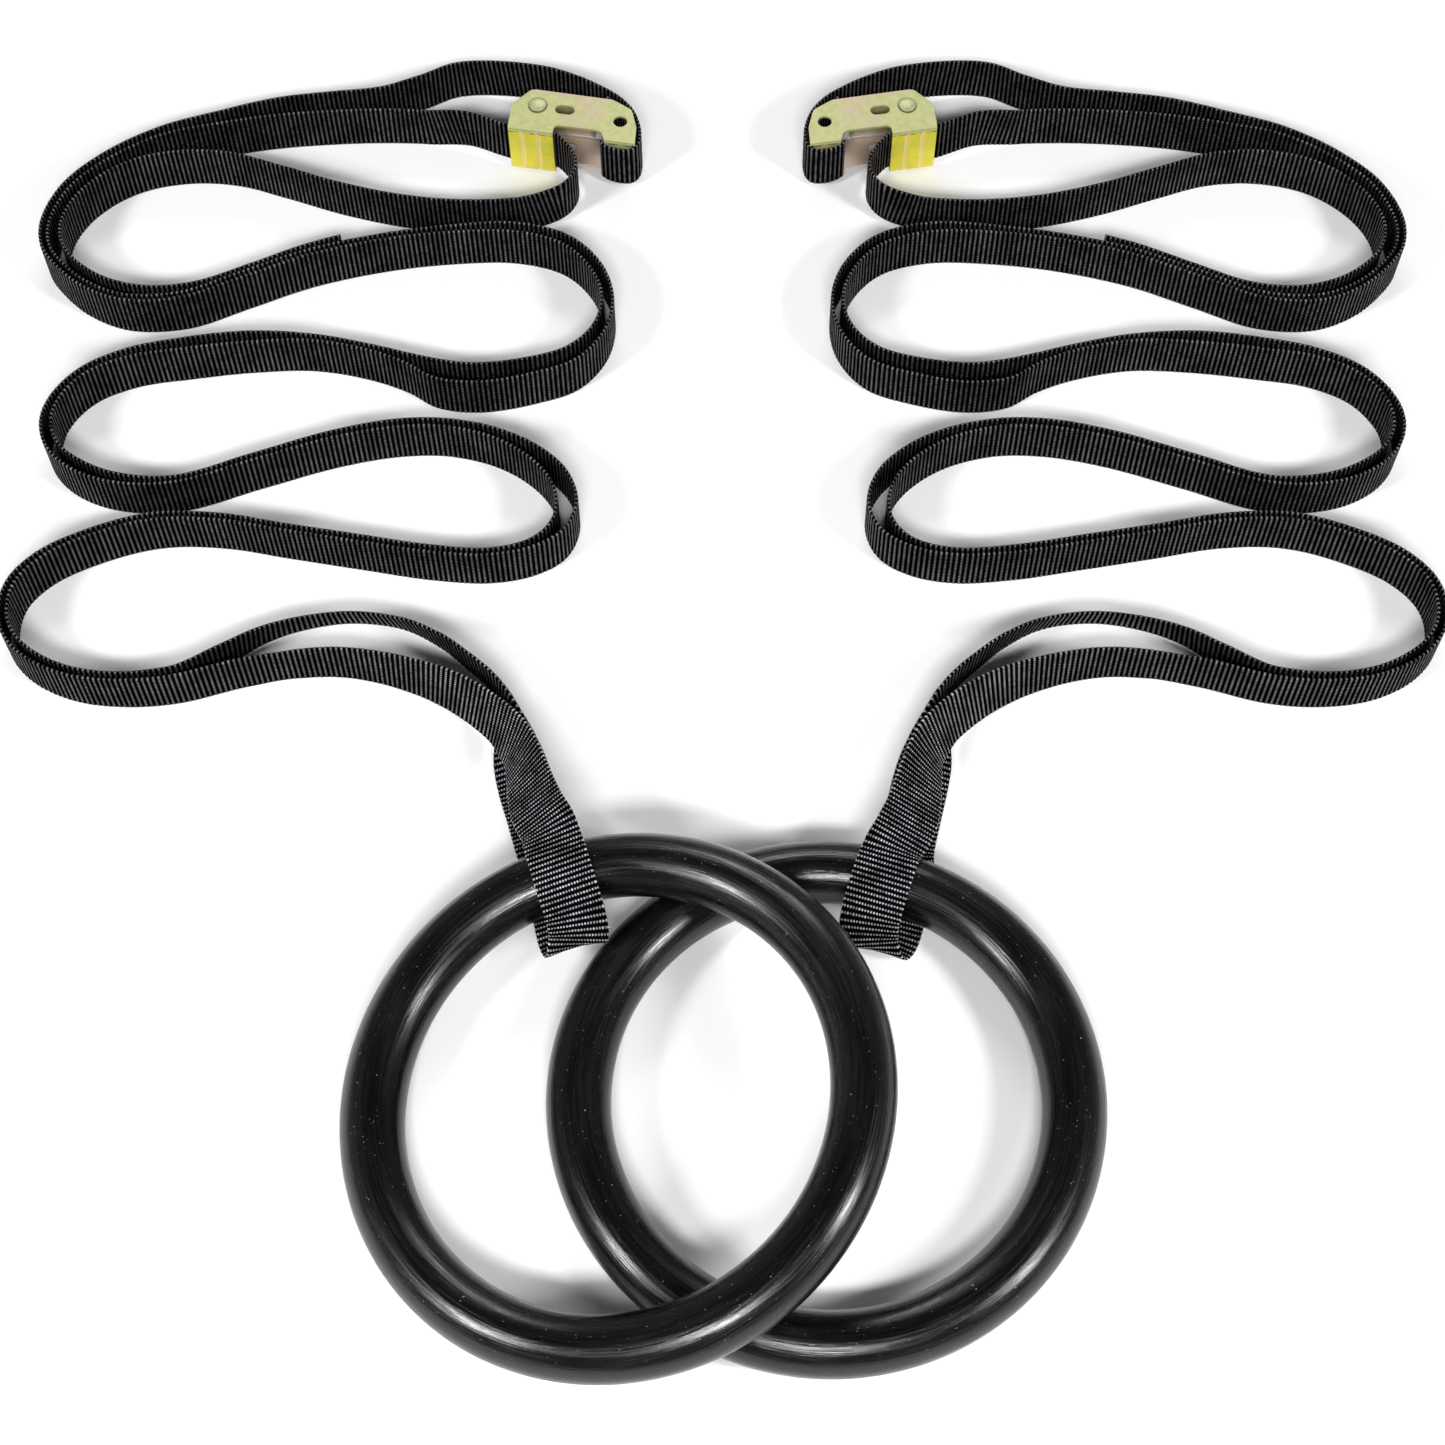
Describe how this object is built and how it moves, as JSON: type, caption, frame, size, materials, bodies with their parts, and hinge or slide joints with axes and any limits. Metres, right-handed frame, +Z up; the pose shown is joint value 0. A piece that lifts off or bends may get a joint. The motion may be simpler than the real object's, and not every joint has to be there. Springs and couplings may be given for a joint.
{
  "type": "gymnastics rings",
  "caption": "Pair of gymnastics rings laid out on a floor, each with a long webbing strap folded in bends and a sprung cam buckle.",
  "frame": {"origin": "On the floor under the middle of the box round the rings and the buckles", "axes": "+Z up; +Y from the rings towards the buckles; +X towards the right set, whose ring lies underneath"},
  "size_m": [0.6816, 0.6871, 0.0688],
  "materials": {
    "ring_plastic": "satin black with faint moulding streaks",
    "webbing": "black woven polyester with ribs across it",
    "thread": "black sewing thread",
    "yellow_zinc": "yellow zinc plate with a faint green and pink cast",
    "rivet_zinc": "pale zinc plate",
    "spring_steel": "bare spring steel"
  },
  "bodies": {
    "right_set": {"right_strap": "webbing", "right_sewn_stitching": "thread", "right_buckle_frame": "yellow_zinc", "right_rivet": "rivet_zinc", "right_return_spring": "spring_steel"},
    "right_lever": {"right_cam_lever": "yellow_zinc"},
    "right_ring_body": {"right_ring": "ring_plastic"},
    "left_set": {"left_strap": "webbing", "left_sewn_stitching": "thread", "left_buckle_frame": "yellow_zinc", "left_rivet": "rivet_zinc", "left_return_spring": "spring_steel"},
    "left_lever": {"left_cam_lever": "yellow_zinc"},
    "left_ring_body": {"left_ring": "ring_plastic"}
  },
  "joints": [
    {"name": "right_lever_press", "type": "hinge", "parent": "right_set", "child": "right_lever", "pos_m": [0.09428, 0.32088, 0.0163], "axis": [0, 0, 1], "range_deg": [0, 22], "stiffness_Nm_per_rad": 0.12, "springref_deg": -17.19},
    {"name": "right_ring_turn", "type": "hinge", "parent": "right_set", "child": "right_ring_body", "pos_m": [0.0435, -0.2072, 0.01492], "axis": [0, -0.0103, 0.9999], "continuous": true},
    {"name": "left_set_lift", "type": "slide", "parent": "right_set", "child": "left_set", "axis": [0, 0, 1], "range_m": [0, 0.15]},
    {"name": "left_lever_press", "type": "hinge", "parent": "left_set", "child": "left_lever", "pos_m": [-0.09428, 0.32088, 0.0163], "axis": [0, 0, -1], "range_deg": [0, 22], "stiffness_Nm_per_rad": 0.12, "springref_deg": -17.19},
    {"name": "left_ring_turn", "type": "hinge", "parent": "left_set", "child": "left_ring_body", "pos_m": [-0.0445, -0.214, 0.03464], "axis": [-0.1989, -0.025, 0.9797], "continuous": true}
  ]
}
